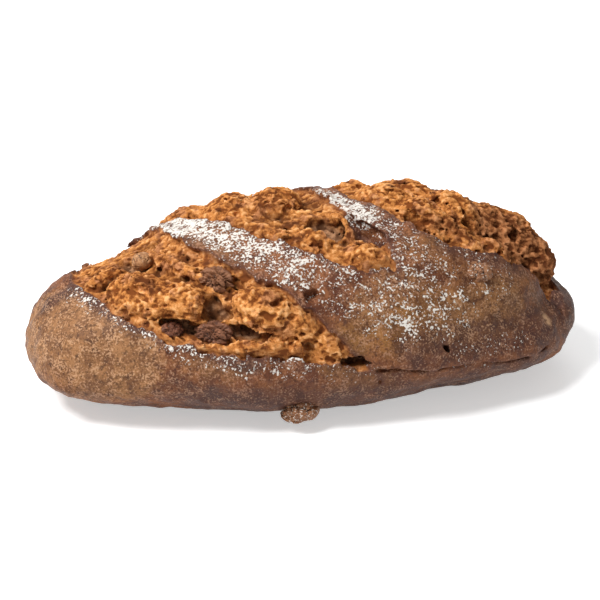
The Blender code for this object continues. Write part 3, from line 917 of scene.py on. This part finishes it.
def walnut_material():
    """A kernel's skin: dark red to pale tan, with painted shade in the folds, and flour on the pieces that
    have it.
    """
    n = Nodes("walnut_kernel")
    fold, tan, flour = (n.attribute(name) for name in ("fold", "tan", "flour"))
    patchy = n.noise(2.4, 4.0, 0.65)
    red = n.mix(n.ramp(patchy, 0.3, 0.7), *WALNUT_RED)
    pale = n.mix(n.ramp(patchy, 0.3, 0.7), *WALNUT_PALE)
    skin = n.mix(tan, red, pale)
    # Painted shade in the folds.
    skin = n.mix(n.ramp(fold, 0.30, 0.0), skin, WALNUT_FOLD_SHADE)
    grains = n.noise(1.1, 3.0, 0.6)
    threshold = n.ramp(flour, 0.0, 1.0, 0.72, 0.34, smooth=False)
    dusted = n.ramp(n.maths("SUBTRACT", grains, threshold), -0.03, 0.05)
    skin = n.mix(n.maths("MULTIPLY", dusted, 0.9), skin, WALNUT_FLOUR)
    n.put(n.shader.inputs["Base Color"], skin)
    n.shader.inputs["Roughness"].default_value = 0.6
    n.shader.inputs["Specular IOR Level"].default_value = 0.3
    n.put(n.shader.inputs["Normal"], n.bump(n.noise(0.8, 4.0), 0.3))
    return n.material


# ---------------------------------------------------------------- stage, in metres
FLOOR_SIZE = 12.0
FLOOR_DROP = 0.0004
FLOOR_GLOW = 0.46
WORLD_STRENGTH = 0.31
# Each lamp: its name, place, size and power. All of them face the loaf.
LAMPS = (
    ("key", (-0.72, -0.26, 1.15), 0.45, 21.5),
    ("fill", (1.1, -1.2, 0.6), 1.2, 2.0),
    ("back", (0.3, 1.1, 0.9), 0.8, 5.0),
)
LAMP_TARGET = (0.0, 0.0, 0.04)
CAMERA_AZIMUTH = -12.3
CAMERA_ELEVATION = 24.7
CAMERA_DISTANCE = 0.889
CAMERA_LENS = 103.7
CAMERA_TARGET = (-0.0030, -0.0023, 0.0421)


def floor_material():
    """A pale floor that the camera sees a little brighter, so that it is white but keeps the shadow."""
    n = Nodes("floor_white")
    n.shader.inputs["Base Color"].default_value = (0.85, 0.85, 0.85, 1.0)
    n.shader.inputs["Roughness"].default_value = 0.9
    n.shader.inputs["Emission Color"].default_value = (1.0, 1.0, 1.0, 1.0)
    rays = n.add("ShaderNodeLightPath").outputs
    mirrored = n.maths("MAXIMUM", rays["Is Glossy Ray"], rays["Is Transmission Ray"])
    seen = n.maths("MAXIMUM", rays["Is Camera Ray"], mirrored)
    n.put(n.shader.inputs["Emission Strength"], n.maths("MULTIPLY", seen, FLOOR_GLOW))
    return n.material


def stage_and_light():
    """The floor, the world and three lamps."""
    scene = bpy.context.scene
    bpy.ops.mesh.primitive_plane_add(size=FLOOR_SIZE, location=(0, 0, -FLOOR_DROP))
    floor = bpy.context.object
    floor.name = "floor"
    floor.data.materials.append(floor_material())
    floor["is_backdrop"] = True
    world = bpy.data.worlds.new("studio")
    scene.world = world
    world.use_nodes = True
    background = world.node_tree.nodes["Background"]
    background.inputs["Color"].default_value = (1.0, 1.0, 1.0, 1.0)
    background.inputs["Strength"].default_value = WORLD_STRENGTH
    for name, place, size, power in LAMPS:
        lamp = bpy.data.lights.new(name, "AREA")
        lamp.size = size
        lamp.energy = power
        obj = bpy.data.objects.new(name, lamp)
        obj.location = place
        obj.rotation_euler = (Vector(LAMP_TARGET) - Vector(place)).to_track_quat("-Z", "Y").to_euler()
        scene.collection.objects.link(obj)


def camera():
    """The camera, looking at the loaf's middle from the front, a little from its left and above."""
    azimuth = math.radians(CAMERA_AZIMUTH)
    elevation = math.radians(CAMERA_ELEVATION)
    level = math.cos(elevation)
    back = Vector((math.sin(azimuth) * level, -math.cos(azimuth) * level, math.sin(elevation)))
    data = bpy.data.cameras.new("camera")
    data.lens = CAMERA_LENS
    obj = bpy.data.objects.new("camera", data)
    obj.location = Vector(CAMERA_TARGET) + back * CAMERA_DISTANCE
    obj.rotation_euler = (-back).to_track_quat("-Z", "Y").to_euler()
    bpy.context.scene.collection.objects.link(obj)
    bpy.context.scene.camera = obj


def main():
    scene = bpy.context.scene
    scene.view_settings.view_transform = "Standard"
    camera()
    stage_and_light()
    loaf = loaf_piece()
    loaf.data.materials.clear()
    loaf.data.materials.append(loaf_material())
    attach(loaf, "root")
    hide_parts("loaf")
    kernel = walnut_material()
    for name, sizes in WALNUTS.items():
        piece = walnut_piece(name, *sizes)
        piece.data.materials.append(kernel)
        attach(piece, "root")
        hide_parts(name)
    low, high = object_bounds()
    sizes = {"cad": [list(CAD_LOW), list(CAD_HIGH)], "visual": [list(low), list(high)]}


main()
